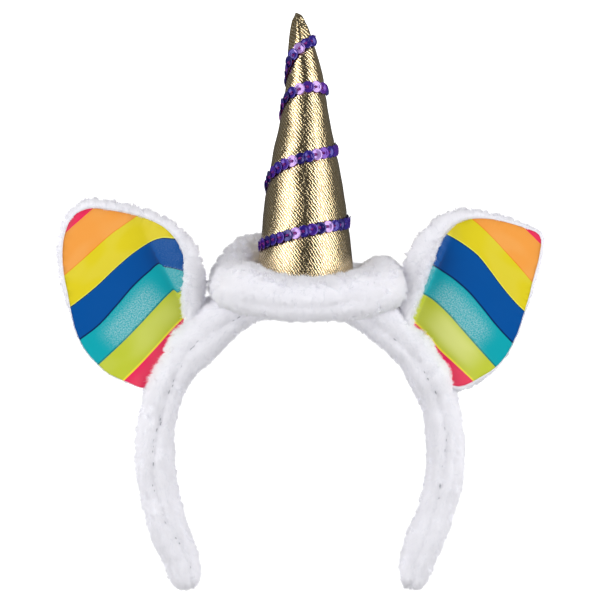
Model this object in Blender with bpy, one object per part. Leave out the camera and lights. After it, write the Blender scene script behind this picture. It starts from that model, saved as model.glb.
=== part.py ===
"""A unicorn horn headband of plush, lying on its back.

A padded band carries a padded ring, a stuffed horn that stands in the ring, a sequin trim that
climbs the horn, and two ears of plush, each with a satin lining. All pieces are shaped as worn,
with X to the right, Y to the back and Z up, in millimetres. An empty then lays them on their back.
"""

from math import ceil, cos, exp, pi, radians, sin, sqrt

import bmesh
import bpy
import numpy as np
from mathutils import Vector

MM = 0.001
GAP = 0.3                 # left between two pieces that touch

# How it lies. The tips and the ring's back bear on the floor, and the plush there is pressed flat.
BAND_LEAN = 14.0          # degrees from the floor to the band's plane
TIP_LIFT = 8.8            # from the floor to the middle of the band at its tips

# The band. Its middle line is given for one side, from the tip up to the crown.
BAND_THICK = 16.4
BAND_DEPTH = 24.0
BAND_END_ROUND = 9.0
BAND_SQUARENESS = 3.0
BAND_SIDES = 12
BAND_STEP = 8.5
BAND_SIDE = (
    # half width, height
    (52.0, 0.0),
    (54.0, 12.8),
    (62.6, 37.2),
    (67.6, 63.0),
    (65.1, 87.4),
    (56.5, 108.8),
    (41.5, 125.5),
    (25.0, 136.3),
    (0.0, 141.2),
)

# The ring. Azimuth 0 is its front and 90 its right.
RING_CENTRE = Vector((3.2, 1.7, 147.5))
RING_STATIONS = 30
RING_SIDES = 12
RING_ROWS = (
    # azimuth, radius of its middle line, rise, radius of the roll
    (0, 33.6, 0.0, 10.7),
    (45, 33.8, 0.0, 11.7),
    (90, 33.6, 0.0, 12.0),
    (135, 33.6, -7.5, 10.6),
    (180, 33.6, -1.0, 10.9),
    (225, 33.8, 6.0, 11.0),
    (270, 33.8, 0.0, 11.2),
    (315, 33.8, 1.5, 11.3),
)

# The horn. It lies level, so it leans back from the band, and its tip sags towards the floor.
HORN_FOOT = Vector((0.0, 0.0, 147.5))
HORN_LENGTH = 124.4
HORN_SAG = 15.0
HORN_SIDES = 20
HORN_ROWS = (
    # distance along the axis, sideways, radius
    (-5.0, 2.8, 21.6),
    (12.0, 2.7, 20.9),
    (37.0, 2.3, 18.0),
    (67.0, 1.9, 13.1),
    (97.0, 1.1, 8.4),
    (111.0, 0.5, 5.8),
    (119.0, -0.5, 3.6),
    (123.0, -0.8, 2.1),
    (124.4, -0.9, 0.8),
)
HORN_STATIONS = (-5.0, 3.0, 12.0, 24.0, 37.0, 52.0, 67.0, 82.0, 97.0, 104.0, 111.0, 115.0, 119.0, 121.5, 123.0, 124.4)

# The sequin trim: how far along the horn it lies at each turn, from turn -90 at the horn's left.
TRIM_ROWS = (
    # turn, distance along the horn
    (-90, 17.6),
    (0, 22.9),
    (90, 27.6),
    (270, 44.2),
    (315, 50.5),
    (360, 54.7),
    (450, 61.2),
    (630, 77.8),
    (675, 83.4),
    (720, 86.4),
    (810, 87.8),
    (990, 94.0),
    (1035, 100.6),
    (1080, 105.6),
    (1170, 111.0),
    (1240, 113.4),
)
TRIM_LIFT = 0.4           # from the horn's skin to the tape
TAPE_WIDTH = 3.0
TAPE_THICK = 0.8
TAPE_STEP = 18            # degrees of turn between two sections of the tape
TRIM_END = 4              # degrees of turn from the tape's end to the middle of the last sequin
SEQUIN_WIDTH = 5.4
SEQUIN_THICK = 0.6
SEQUIN_LIFT = 1.05        # from the tape's underside to the middle of a sequin
SEQUIN_STEP = 3.8
SEQUIN_TILT = 11.0        # degrees: each one rests on the next
SEQUIN_SIDES = 10

# The ears. The outlines are read round a point inside each ear, anticlockwise from its right.
SATIN_THICK = 1.0
PLUSH_THICK = 3.2
BORDER_HEIGHT = 0.45      # of the plush border, as a part of its width
BORDER_HEIGHT_MOST = 3.5
EAR_SIDES = 28
EAR_RINGS = (0.3, 0.56, 0.79, 0.93, 1.0)
LEFT_EAR = {
    "name": "left_ear",
    "centre": (-79.6, 145.1),
    "crease_at": (16.0, 12.0),
    "crease_direction": 119.6,
    "inner": 1,
    "depth": -1.0,
    "outer_slope": 0.19,
    "flap_slope": 1.15,
    "flap_height": 9.5,
    "rows": (
        # direction, reach of the satin, width of the plush border
        (0.0, 25.9, 11.6),
        (22.5, 28.9, 9.1),
        (45.0, 32.6, 6.2),
        (67.5, 33.6, 4.9),
        (90.0, 34.6, 5.2),
        (112.5, 39.0, 5.0),
        (135.0, 37.0, 3.2),
        (157.5, 30.2, 2.6),
        (180.0, 26.0, 2.2),
        (202.5, 26.4, 1.4),
        (225.0, 30.0, 1.2),
        (247.5, 35.9, 1.2),
        (270.0, 43.0, 1.4),
        (292.5, 40.0, 2.0),
        (315.0, 34.0, 2.5),
        (337.5, 26.8, 6.4),
    ),
}
RIGHT_EAR = {
    "name": "right_ear",
    "centre": (81.9, 144.2),
    "crease_at": (-19.2, 10.3),
    "crease_direction": 68.9,
    "inner": -1,
    "depth": -1.0,
    "outer_slope": 0.19,
    "flap_slope": 1.15,
    "flap_height": 9.5,
    "rows": (
        # direction, reach of the satin, width of the plush border
        (0.0, 22.6, 1.6),
        (22.5, 27.2, 1.8),
        (45.0, 35.8, 1.8),
        (67.5, 34.2, 3.0),
        (90.0, 33.0, 4.6),
        (112.5, 31.4, 7.6),
        (135.0, 27.0, 11.2),
        (157.5, 24.4, 13.6),
        (180.0, 25.6, 10.2),
        (202.5, 32.8, 3.0),
        (225.0, 35.5, 2.2),
        (247.5, 40.0, 1.8),
        (270.0, 39.6, 2.0),
        (292.5, 31.8, 1.4),
        (315.0, 25.0, 1.2),
        (337.5, 22.0, 1.2),
    ),
}


def curve_through(rows, period=None):
    """A smooth curve through the rows of a table, whose first column says where each row is."""
    table = np.array(rows, dtype=float)
    if period:
        before, after = table[-2:].copy(), table[:2].copy()
        before[:, 0] -= period
        after[:, 0] += period
        table = np.vstack((before, table, after))
    place, values = table[:, 0], table[:, 1:]
    slope = np.gradient(values, place, axis=0)

    def read(at):
        row = int(np.clip(np.searchsorted(place, at) - 1, 0, len(place) - 2))
        step = place[row + 1] - place[row]
        t = (at - place[row]) / step
        start = (1 + 2 * t) * (1 - t) ** 2 * values[row] + t * (1 - t) ** 2 * step * slope[row]
        end = t * t * (3 - 2 * t) * values[row + 1] - t * t * (1 - t) * step * slope[row + 1]
        return start + end

    return read


HORN_SHAPE = curve_through(HORN_ROWS)
HORN_LEVEL = Vector((0.0, sin(radians(BAND_LEAN)), cos(radians(BAND_LEAN))))
HORN_DOWN = Vector((0.0, cos(radians(BAND_LEAN)), -sin(radians(BAND_LEAN))))
TRIM_PATH = curve_through(TRIM_ROWS)


def evenly(length, step):
    """Places from 0 to a length, about a step apart."""
    count = ceil(length / step)
    return [length * k / count for k in range(count + 1)]


def arc_lengths(points):
    """The distance run at each point of a path."""
    steps = [(b - a).length for a, b in zip(points, points[1:])]
    return [0.0, *np.cumsum(steps)]


def join_rings(bm, first, second):
    """Triangles between two rings of points. A ring of one point is an end, closed by a fan."""
    if len(first) == 1 or len(second) == 1:
        point, ring = (first[0], second) if len(first) == 1 else (second[0], first)
        for k in range(len(ring)):
            bm.faces.new((point, ring[k - 1], ring[k]))
        return
    for k in range(len(first)):
        a, b, c, d = first[k - 1], first[k], second[k], second[k - 1]
        if (a.co - c.co).length < (b.co - d.co).length:
            bm.faces.new((a, b, c))
            bm.faces.new((a, c, d))
        else:
            bm.faces.new((a, b, d))
            bm.faces.new((b, c, d))


def add_body(bm, rings, loop=False):
    """One closed body through a row of rings, with filled ends or run round to its start."""
    skin = [[bm.verts.new(point) for point in ring] for ring in rings]
    for first, second in zip(skin, skin[1:]):
        join_rings(bm, first, second)
    if loop:
        join_rings(bm, skin[-1], skin[0])
        return
    for end in (skin[0], skin[-1]):
        if len(end) > 1:
            bm.faces.new(end)


def make_object(name, bm, parent, material=None):
    """An object from a mesh drawn in millimetres. One with no material is a cutter or a guide."""
    bmesh.ops.recalc_face_normals(bm, faces=bm.faces[:])
    bmesh.ops.scale(bm, vec=(MM, MM, MM), verts=bm.verts[:])
    mesh = bpy.data.meshes.new(name)
    bm.to_mesh(mesh)
    bm.free()
    item = bpy.data.objects.new(name, mesh)
    bpy.context.collection.objects.link(item)
    item.parent = parent
    if material:
        mesh.materials.append(material)
        mesh.shade_smooth()
        mesh.set_sharp_from_angle(angle=radians(50))
    else:
        item.display_type = "WIRE"
        item.hide_render = True
    return item


def body(name, rings, parent, material=None, loop=False):
    """An object that is one closed body through a row of rings."""
    bm = bmesh.new()
    add_body(bm, rings, loop)
    return make_object(name, bm, parent, material)


def boolean(item, other, operation="DIFFERENCE"):
    """Cuts an object by another, or joins the other to it."""
    modifier = item.modifiers.new(f"{operation.lower()} {other.name}", "BOOLEAN")
    modifier.operation = operation
    modifier.solver = "EXACT"
    modifier.object = other
    return modifier


def make_material(name, colour, roughness, metallic=0.0):
    """A plain material from an sRGB hex colour."""
    material = bpy.data.materials.new(name)
    material.use_nodes = True
    shader = material.node_tree.nodes["Principled BSDF"]
    srgb = [int(colour[k:k + 2], 16) / 255 for k in (1, 3, 5)]
    linear = [c / 12.92 if c <= 0.04045 else ((c + 0.055) / 1.055) ** 2.4 for c in srgb]
    shader.inputs["Base Color"].default_value = (*linear, 1.0)
    shader.inputs["Roughness"].default_value = roughness
    shader.inputs["Metallic"].default_value = metallic
    material.diffuse_color = (*linear, 1.0)
    return material


def band_rings(grow=0.0):
    """Rings of the band, a rounded rectangle that follows its middle line from tip to tip."""
    left = [Vector((-half, 0.0, height)) for half, height in BAND_SIDE]
    knots = left + [Vector((-p.x, 0.0, p.z)) for p in reversed(left[:-1])]
    lengths = arc_lengths(knots)
    line = curve_through([(s, *p) for s, p in zip(lengths, knots)])
    total = lengths[-1]
    near_end = [BAND_END_ROUND * part for part in (0.03, 0.15, 0.38, 0.68)]
    middle = [BAND_END_ROUND + s for s in evenly(total - 2 * BAND_END_ROUND, BAND_STEP)]
    stations = near_end + middle + [total - s for s in reversed(near_end)]
    rings = []
    for station in stations:
        centre = Vector(line(station))
        along = (Vector(line(station + 0.5)) - Vector(line(station - 0.5))).normalized()
        outward = Vector((-along.z, 0.0, along.x))
        from_end = min(station, total - station)
        inside = max(0.0, 1 - from_end / BAND_END_ROUND)
        scale = sqrt(1 - inside * inside)
        if station in (stations[0], stations[-1]):
            centre += along * (-grow if station == stations[0] else grow)
        ring = []
        for k in range(BAND_SIDES):
            turn = 2 * pi * (k + 0.5) / BAND_SIDES
            squared = [abs(v) ** (2 / BAND_SQUARENESS) * (1 if v > 0 else -1) for v in (cos(turn), sin(turn))]
            across = (BAND_THICK / 2 * scale + grow) * squared[0]
            deep = (BAND_DEPTH / 2 * scale + grow) * squared[1]
            ring.append(centre + outward * across + Vector((0.0, deep, 0.0)))
        rings.append(ring)
    return rings


def ring_rings(grow=0.0):
    """Rings of the plush ring, whose roll rises and falls round the horn's foot."""
    read = curve_through(RING_ROWS, period=360)
    rings = []
    for k in range(RING_STATIONS):
        azimuth = 360 * k / RING_STATIONS
        radius, rise, roll = read(azimuth)
        out = Vector((sin(radians(azimuth)), -cos(radians(azimuth)), 0.0))
        spine = RING_CENTRE + out * radius + Vector((0.0, 0.0, rise))
        turns = [2 * pi * j / RING_SIDES for j in range(RING_SIDES)]
        rings.append([spine + (out * cos(t) + Vector((0.0, 0.0, sin(t)))) * (roll + grow) for t in turns])
    return rings


def horn_axis(distance):
    """A point on the horn's axis."""
    sag = HORN_SAG * (max(distance, 0.0) / HORN_LENGTH) ** 2
    sideways = HORN_SHAPE(distance)[0]
    return HORN_FOOT + HORN_LEVEL * distance + HORN_DOWN * sag + Vector((sideways, 0.0, 0.0))


def horn_point(distance, turn, above=0.0):
    """A point over the horn's skin, and the way out of the skin there. Turn 0 is the front."""
    along = (horn_axis(distance + 0.5) - horn_axis(distance - 0.5)).normalized()
    right = (Vector((1.0, 0.0, 0.0)) - along * along.x).normalized()
    front = right.cross(along)
    out = front * cos(radians(turn)) + right * sin(radians(turn))
    return horn_axis(distance) + out * (HORN_SHAPE(distance)[1] + above), out


def horn_rings(grow=0.0):
    """Rings of the horn from its foot to its tip."""
    turns = [360 * k / HORN_SIDES for k in range(HORN_SIDES)]
    rings = [[horn_point(s, turn, grow)[0] for turn in turns] for s in HORN_STATIONS]
    if grow:
        push = HORN_LEVEL * grow
        rings = [[p - push for p in rings[0]], *rings[1:-1], [p + push for p in rings[-1]]]
    return rings


def trim_frame(turn):
    """Where the trim is at one turn: its place over the horn's skin, and its way on, out and across."""
    place, out = horn_point(TRIM_PATH(turn)[0], turn, TRIM_LIFT)
    ahead = horn_point(TRIM_PATH(turn + 1)[0], turn + 1, TRIM_LIFT)[0]
    behind = horn_point(TRIM_PATH(turn - 1)[0], turn - 1, TRIM_LIFT)[0]
    onward = (ahead - behind).normalized()
    across = out.cross(onward).normalized()
    return place, onward, onward.cross(across), across


def trim_tape(parent, material):
    """The narrow tape that the sequins are sewn on."""
    first, last = TRIM_ROWS[0][0], TRIM_ROWS[-1][0]
    rings = []
    for turn in [first + s for s in evenly(last - first, TAPE_STEP)]:
        place, _, out, across = trim_frame(turn)
        high, side = place + out * TAPE_THICK, across * TAPE_WIDTH / 2
        rings.append([place - side, place + side, high + side, high - side])
    return body("sequin_trim", rings, parent, material)


def trim_sequins(parent):
    """The sequins, small discs that overlap like tiles, as one guide that is joined to the tape."""
    first, last = TRIM_ROWS[0][0] + TRIM_END, TRIM_ROWS[-1][0] - TRIM_END
    turns = [first + s for s in evenly(last - first, 2)]
    lengths = arc_lengths([trim_frame(turn)[0] for turn in turns])
    corners = [2 * pi * (k + 0.5) / SEQUIN_SIDES for k in range(SEQUIN_SIDES)]
    tilt = radians(SEQUIN_TILT)
    bm = bmesh.new()
    for length in evenly(lengths[-1], SEQUIN_STEP):
        place, onward, out, across = trim_frame(np.interp(length, lengths, turns))
        flat = onward * cos(tilt) + out * sin(tilt)
        half = (out * cos(tilt) - onward * sin(tilt)) * SEQUIN_THICK / 2
        middle = place + out * SEQUIN_LIFT
        rim = [middle + (flat * cos(t) + across * sin(t)) * SEQUIN_WIDTH / 2 for t in corners]
        add_body(bm, [[p - half for p in rim], [p + half for p in rim]])
    return make_object("sequins", bm, parent)


def soft_step(value, softness):
    """Near 0 below 0 and near the value above it, with a soft turn between."""
    return (value + sqrt(value * value + softness * softness)) / 2


def ear_depth(ear, x, z):
    """How far forward the satin's middle lies, at a place given from the ear's centre."""
    direction = radians(ear["crease_direction"])
    inward = direction - ear["inner"] * pi / 2
    dx, dz = x - ear["crease_at"][0], z - ear["crease_at"][1]
    across = dx * cos(inward) + dz * sin(inward)
    along = dx * cos(direction) + dz * sin(direction)
    fade = 1 / (1 + exp((along - 16) / 6))
    flap = soft_step(across, 2.0) * ear["flap_slope"] * (0.22 + 0.78 * fade)
    rise = ear["flap_height"] * (1 - exp(-flap / ear["flap_height"]))
    return ear["depth"] + ear["outer_slope"] * soft_step(-across, 5.0) + rise


def ear_ring(ear, place):
    """A ring of points round an ear. place gives the distance, the height over the cup and the lift."""
    read = curve_through(ear["rows"], period=360)
    points = []
    for k in range(EAR_SIDES):
        degrees = 360 * k / EAR_SIDES
        points.append(ear_point(ear, radians(degrees), *place(*read(degrees))))
    return points


def ear_point(ear, direction, distance, height, lift=0.0):
    """A point over the ear's cupped surface, moved off it along its own normal and lifted forward."""
    x, z, step = distance * cos(direction), distance * sin(direction), 0.2
    depth = ear_depth(ear, x, z)
    slope_x = (ear_depth(ear, x + step, z) - ear_depth(ear, x - step, z)) / (2 * step)
    slope_z = (ear_depth(ear, x, z + step) - ear_depth(ear, x, z - step)) / (2 * step)
    normal = Vector((-slope_x, -1.0, -slope_z)).normalized()
    centre = Vector((ear["centre"][0], 0.0, ear["centre"][1]))
    return centre + Vector((x, -depth - lift, z)) + normal * height


def ear_lining_rings(ear):
    """The satin: one sheet with its front and its back."""
    front, back = SATIN_THICK / 2, -SATIN_THICK / 2
    rings = [[ear_point(ear, 0.0, 0.0, front)]]
    rings += [ear_ring(ear, lambda reach, border, p=p: (p * reach, front)) for p in EAR_RINGS]
    rings += [ear_ring(ear, lambda reach, border, p=p: (p * reach, back)) for p in reversed(EAR_RINGS)]
    rings += [[ear_point(ear, 0.0, 0.0, back)]]
    return rings


def ear_back_rings(ear):
    """The plush: a shell behind the satin, with a border that rolls forward round it."""
    recess = -SATIN_THICK / 2 - GAP
    rear = recess - PLUSH_THICK

    def border(part, share, sink=0.0):
        def place(reach, width):
            lift = min(BORDER_HEIGHT * width, BORDER_HEIGHT_MOST) * share
            return reach + GAP + part * (width - GAP), SATIN_THICK / 2 - sink, lift
        return place

    rings = [[ear_point(ear, 0.0, 0.0, recess)]]
    rings += [ear_ring(ear, lambda reach, width, p=p: (p * reach, recess)) for p in EAR_RINGS]
    rings += [ear_ring(ear, lambda reach, width: (reach + GAP, recess))]
    rings += [ear_ring(ear, border(part, share)) for part, share in ((0.05, 0.35), (0.4, 1.0), (0.8, 0.65))]
    rings += [ear_ring(ear, border(1.0, 0.0, SATIN_THICK + 1.0))]
    rings += [ear_ring(ear, lambda reach, width: (reach + 0.6 * width - 0.6, rear + 0.4))]
    rings += [ear_ring(ear, lambda reach, width, p=p: (p * reach, rear)) for p in reversed(EAR_RINGS[:-1])]
    rings += [[ear_point(ear, 0.0, 0.0, rear)]]
    return rings


def centre_on_floor(root, pieces):
    """Moves the whole so that the middle of its box is over the origin."""
    bpy.context.view_layer.update()
    depsgraph = bpy.context.evaluated_depsgraph_get()
    corners = []
    for piece in pieces:
        solid = piece.evaluated_get(depsgraph)
        corners += [piece.matrix_world @ vertex.co for vertex in solid.data.vertices]
    for axis in (0, 1):
        values = [corner[axis] for corner in corners]
        root.location[axis] -= (min(values) + max(values)) / 2


def build():
    for item in list(bpy.data.objects):
        bpy.data.objects.remove(item, do_unlink=True)

    plush = make_material("white plush", "#E6E6EC", 0.95)
    gold = make_material("gold lame", "#BEA05A", 0.35, 0.9)
    violet = make_material("violet sequins", "#4A2C98", 0.25, 0.2)
    satin = make_material("striped satin", "#10A0AE", 0.35)

    root = bpy.data.objects.new("laid_on_its_back", None)
    bpy.context.collection.objects.link(root)
    root.rotation_euler = (radians(BAND_LEAN - 90), 0.0, 0.0)
    root.location = (0.0, 0.0, TIP_LIFT * MM)

    band_room = body("band_room", band_rings(GAP), root)
    ring_room = body("ring_room", ring_rings(GAP), root, loop=True)
    horn_room = body("horn_room", horn_rings(GAP), root)
    bm = bmesh.new()
    bmesh.ops.create_cube(bm, size=400)
    floor = make_object("floor", bm, None)
    floor.location.z = -200 * MM

    band = body("band", band_rings(), root, plush)
    boolean(band, floor)

    ring = body("ring", ring_rings(), root, plush, loop=True)
    boolean(ring, band_room)
    boolean(ring, horn_room)
    boolean(ring, floor)

    horn = body("horn", horn_rings(), root, gold)
    boolean(horn, band_room)

    trim = trim_tape(root, violet)
    boolean(trim, trim_sequins(root), "UNION").use_self = True

    pieces = [band, ring, horn, trim]
    for ear in (LEFT_EAR, RIGHT_EAR):
        back = body(f"{ear['name']}_back", ear_back_rings(ear), root, plush)
        lining = body(f"{ear['name']}_lining", ear_lining_rings(ear), root, satin)
        for piece in (back, lining):
            boolean(piece, band_room)
            boolean(piece, ring_room)
            pieces.append(piece)

    centre_on_floor(root, pieces)


build()
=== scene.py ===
"""A unicorn horn headband of plush, lying on its back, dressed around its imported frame.

Shapes are worked out as worn, with X to the right, Y to the back and Z up, in millimetres, as the
solids are. lie() lays them down where the frame is, in metres.
"""

from math import cos, pi, radians, sin

import bpy
import numpy as np
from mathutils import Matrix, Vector, noise
from mathutils.bvhtree import BVHTree
from mathutils.kdtree import KDTree


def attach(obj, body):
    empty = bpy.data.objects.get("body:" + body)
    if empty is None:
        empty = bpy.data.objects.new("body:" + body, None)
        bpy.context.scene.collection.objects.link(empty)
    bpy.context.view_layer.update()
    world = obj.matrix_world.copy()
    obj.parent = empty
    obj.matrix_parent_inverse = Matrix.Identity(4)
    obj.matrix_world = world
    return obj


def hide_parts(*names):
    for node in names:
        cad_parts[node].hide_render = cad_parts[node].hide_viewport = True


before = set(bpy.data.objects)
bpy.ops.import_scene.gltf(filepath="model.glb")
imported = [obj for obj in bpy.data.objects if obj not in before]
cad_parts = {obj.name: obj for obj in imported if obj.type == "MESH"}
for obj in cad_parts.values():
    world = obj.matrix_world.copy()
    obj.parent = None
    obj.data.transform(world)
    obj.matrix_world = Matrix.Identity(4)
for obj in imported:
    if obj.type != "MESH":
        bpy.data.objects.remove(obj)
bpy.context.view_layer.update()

MM = 0.001
# Cloth is worked out at ten times the size, where it is steady.
CLOTH_SCALE = 10

# How it lies: the band leans up from the floor by this much.
LEAN = radians(14.0)
LIE = np.array(((1, 0, 0), (0, sin(LEAN), cos(LEAN)), (0, -cos(LEAN), sin(LEAN))))
SHIFT = np.array((0.09, -133.58, 8.8))

# The band's middle line, from its left tip up to the crown. The right side mirrors it.
BAND_SIDE = ((52.0, 0.0), (54.0, 12.8), (62.6, 37.2), (67.6, 63.0), (65.1, 87.4), (56.5, 108.8), (41.5, 125.5),
             (25.0, 136.3), (0.0, 141.2))

# Soft lumps of the padding, each as x and y in the plan, radius and height.
BAND_HUMPS = ((-38, -24, 14, 2.3), (60, -107, 9, 0.8), (-63, -75, 14, 0.5), (-65, -105, 12, 0.9),
              (49, -109, 8, 0.7), (60, -128, 6, -1.2), (-42, -1, 8, 3.4), (45, -3, 7, 2.6), (-57, -14, 9, 3.0),
              (-68, -35, 8, 2.2), (67, -31, 11, 3.4), (59, -15, 8, 2.4))
RING_HUMPS = ((-24, 31, 8, 0.9), (40, 20, 11, 1.5), (-41, -1.5, 9, 3.2), (47, 2, 9, 2.6), (-22, 19, 8, 3.2))

# The crease along the ring's front fades out at its ends, and lies above this height over the floor.
CREASE_DEPTH = 1.1
CREASE_HALF_WIDTH = 1.8
CREASE_ENDS = 30.0
CREASE_ABOVE = 45.0

# The horn: where its axis starts, its length, how far its tip sags, and a table of distance along it,
# sideways shift and radius.
HORN_FOOT = np.array((0.0, 0.0, 147.5))
HORN_LENGTH = 124.4
HORN_SAG = 15.0
HORN_ROWS = ((-5, 2.8, 21.6), (12, 2.7, 20.9), (37, 2.3, 18.0), (60, 2.1, 14.1), (70, 2.25, 12.0),
             (80, 2.4, 10.2), (90, 2.4, 8.7), (97, 2.0, 7.8), (104, 1.2, 6.9), (111, 0.4, 5.7),
             (119, -0.6, 3.5), (123, -1.2, 1.9), (124.4, -1.8, 0.6))
HORN_ALONG = np.array((0.0, sin(LEAN), cos(LEAN)))
HORN_DOWN = np.array((0.0, cos(LEAN), -sin(LEAN)))
# The horn's cut is a sector of this reach, and turns by this part of the horn's turn.
CUT_REACH = 130.0
CUT_SPREAD = 0.17

# The sequin trim, as a table of its turn round the horn and its distance along it.
TRIM_ROWS = ((-90, 16.6), (-38, 19.5), (0, 22.4), (90, 27.6), (270, 45.4), (315, 51.4), (360, 55.0), (450, 61.2),
             (630, 79.2), (675, 84.9), (720, 87.4), (810, 88.2), (990, 95.8), (1035, 102.6), (1080, 106.8),
             (1170, 111.0), (1240, 113.4))
TRIM_LIFT = 0.1
TRIM_END = 4
SEQUIN_RADIUS = 2.7
SEQUIN_STEP = 3.8
# turns along the trim of the sequins that get a painted glint, coloured pale lavender
PAINTED_GLINT_SEQUINS = (-15.5, 29.0, 346.0, 386.5, 706.0, 752.0, 1070.0)

# The ears, round each one's centre. Reach is the satin's, and border is the plush's beyond it, at every EAR_STEP
# of direction. The crease parts the flap on the inner side from the rest, and the flap's stripes are slipped down
# from the others. The rest says where the painted highlights on the turquoise and the lime stripe lie, and where
# the stripes run.
STRIPES = 7
EAR_STEP = 11.25
EAR_SLOPE = 0.19
FLAP_SLOPE = 1.15
FLAP_HEIGHT = 9.5
SATIN_THICK = 1.0
GAP = 0.3
PLUSH_THICK = 3.2
EARS = {
    "left": {
        "centre": (-79.6, 145.1), "crease_at": (16.0, 12.0), "crease": 116.0, "inner": 1,
        "reach": (25.6, 27, 28.9, 31.7, 33.2, 34.2, 34.1, 34, 35, 37.2, 40.6, 41.2, 37.7, 33.5, 30, 27.5,
                  25.9, 25.6, 26.2, 27.8, 30, 32.7, 35.6, 39.3, 42.5, 46.8, 45, 40, 36, 32, 28, 26),
        "border": (12, 11.3, 9.6, 7.7, 6.6, 5.5, 4.8, 4.8, 5.2, 5.6, 5.3, 3.8, 3.4, 3.5, 3.1, 2.9,
                   2.6, 2, 0.9, 0.4, 0.3, 0.3, 0.4, 0.4, 0.5, 0.5, 0.9, 1.4, 3, 6, 8.6, 11),
        "painted_sheen_at": -6.0, "painted_lime_sheen": 0.1, "lime_at": -2.0, "slip": 2.4,
        "stripes_way": -48.0,
        "stripes": (
            # across the ear, then where each of the six borders between stripes runs
            (-32.0, -38.0, -25.0, -12.6, 2.0, 16.8, 30.4),
            (-20.0, -38.0, -24.4, -11.2, 3.3, 16.8, 30.2),
            (-8.0, -38.0, -23.8, -10.3, 2.3, 16.4, 29.3),
            (4.0, -37.8, -23.6, -10.4, 1.0, 15.5, 28.2),
            (13.0, -37.5, -23.3, -10.0, 1.0, 14.9, 28.0),
            (21.0, -37.4, -22.2, -8.8, 2.2, 15.4, 28.2),
            (27.0, -37.0, -21.4, -7.6, 9.4, 18.8, 28.8),
            (36.0, -36.6, -20.4, -2.6, 17.0, 24.0, 31.0),
        ),
    },
    "right": {
        "centre": (81.9, 144.2), "crease_at": (-19.2, 10.3), "crease": 68.9, "inner": -1,
        "reach": (22.4, 23.8, 26.8, 31.8, 37.6, 35.9, 34.4, 33.8, 33.5, 33.2, 32, 29.8, 27.1, 25.2, 24.4, 24.4,
                  25.8, 28.6, 33, 36, 39, 42, 45, 45.2, 40, 35.8, 31.5, 27.4, 24.7, 22.7, 21.8, 21.7),
        "border": (1.6, 1.9, 2.3, 2.3, 2, 2.4, 3, 3.4, 4.5, 6, 7.9, 10.3, 12.6, 13.9, 14.2, 12.2,
                   10.5, 8.6, 6, 3.6, 2.4, 2.2, 2.6, 3, 2.6, 1.4, 0.7, 0.4, 0.4, 0.4, 0.6, 1),
        "painted_sheen_at": 1.0, "painted_lime_sheen": 0.3, "lime_at": 7.0, "slip": 0.0,
        "stripes_way": 228.0,
        "stripes": (
            (-29.0, -35.8, -22.0, -9.4, 5.4, 18.6, 31.0),
            (-20.0, -35.8, -22.6, -11.2, 4.6, 18.2, 30.9),
            (-12.0, -35.7, -22.4, -11.9, 3.4, 17.2, 30.9),
            (-3.0, -35.5, -21.7, -10.6, 3.2, 17.2, 31.3),
            (5.0, -35.3, -21.0, -9.0, 4.2, 18.0, 32.4),
            (14.0, -35.0, -19.9, -7.8, 5.6, 19.0, 32.4),
            (28.0, -34.6, -19.4, -7.6, 6.8, 20.4, 32.4),
        ),
    },
}


# Tools

def curve_through(rows, period=None):
    """A smooth curve through a table, read at any places along its first column."""
    table = np.array(rows, float)
    if period:
        step = np.zeros(table.shape[1])
        step[0] = period
        table = np.vstack((table[-2:] - step, table, table[:2] + step))
    place, values = table[:, 0], table[:, 1:]
    slope = np.gradient(values, place, axis=0)

    def read(at):
        at = np.asarray(at, float)
        row = np.clip(np.searchsorted(place, at) - 1, 0, len(place) - 2)
        step = (place[row + 1] - place[row])[..., None]
        t = (at - place[row])[..., None] / step
        start = (1 + 2 * t) * (1 - t) ** 2 * values[row] + t * (1 - t) ** 2 * step * slope[row]
        end = t * t * (3 - 2 * t) * values[row + 1] - t * t * (1 - t) * step * slope[row + 1]
        return start + end

    return read


def unit(vectors):
    return vectors / np.maximum(np.linalg.norm(vectors, axis=-1, keepdims=True), 1e-12)


def lie(points):
    """Worn millimetres to the frame's metres."""
    return (np.asarray(points, float) @ LIE.T + SHIFT) * MM


def worn(placed):
    """The frame's metres to worn millimetres."""
    return (np.asarray(placed, float) / MM - SHIFT) @ LIE


def points_of(mesh, kind="co"):
    values = np.zeros(len(mesh.vertices) * 3)
    if kind == "co":
        mesh.vertices.foreach_get("co", values)
    else:
        mesh.vertex_normals.foreach_get("vector", values)
    return values.reshape(-1, 3)


def set_points(mesh, points):
    mesh.vertices.foreach_set("co", np.asarray(points, np.float32).ravel())
    mesh.update()


def only(item):
    """Selects one object alone and makes it the active one."""
    bpy.ops.object.select_all(action="DESELECT")
    item.select_set(True)
    bpy.context.view_layer.objects.active = item


def apply(item, kind, **settings):
    """Adds a modifier, sets it and applies it."""
    only(item)
    modifier = item.modifiers.new(kind.lower(), kind)
    for key, value in settings.items():
        setattr(modifier, key, value)
    bpy.ops.object.modifier_apply(modifier=modifier.name)


def edit(item, step, **settings):
    """Runs one step on all of a piece in edit mode."""
    only(item)
    bpy.ops.object.mode_set(mode="EDIT")
    bpy.ops.mesh.select_all(action="SELECT")
    step(**settings)
    bpy.ops.object.mode_set(mode="OBJECT")


def put_in(name, data):
    """Puts a mesh, a lamp or a camera in the scene."""
    item = bpy.data.objects.new(name, data)
    bpy.context.scene.collection.objects.link(item)
    return item


def new_piece(name, points, faces, material):
    """A piece from points in the frame's metres."""
    mesh = bpy.data.meshes.new(name)
    mesh.from_pydata([tuple(p) for p in points], [], faces)
    mesh.materials.append(material)
    mesh.shade_smooth()
    return put_in(name, mesh)


def between_rows(rows, sides):
    """Faces between rows of points that each go once round."""
    faces = []
    for r in range(rows - 1):
        for k in range(sides):
            n = (k + 1) % sides
            faces.append((r * sides + k, r * sides + n, (r + 1) * sides + n, (r + 1) * sides + k))
    return faces


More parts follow.
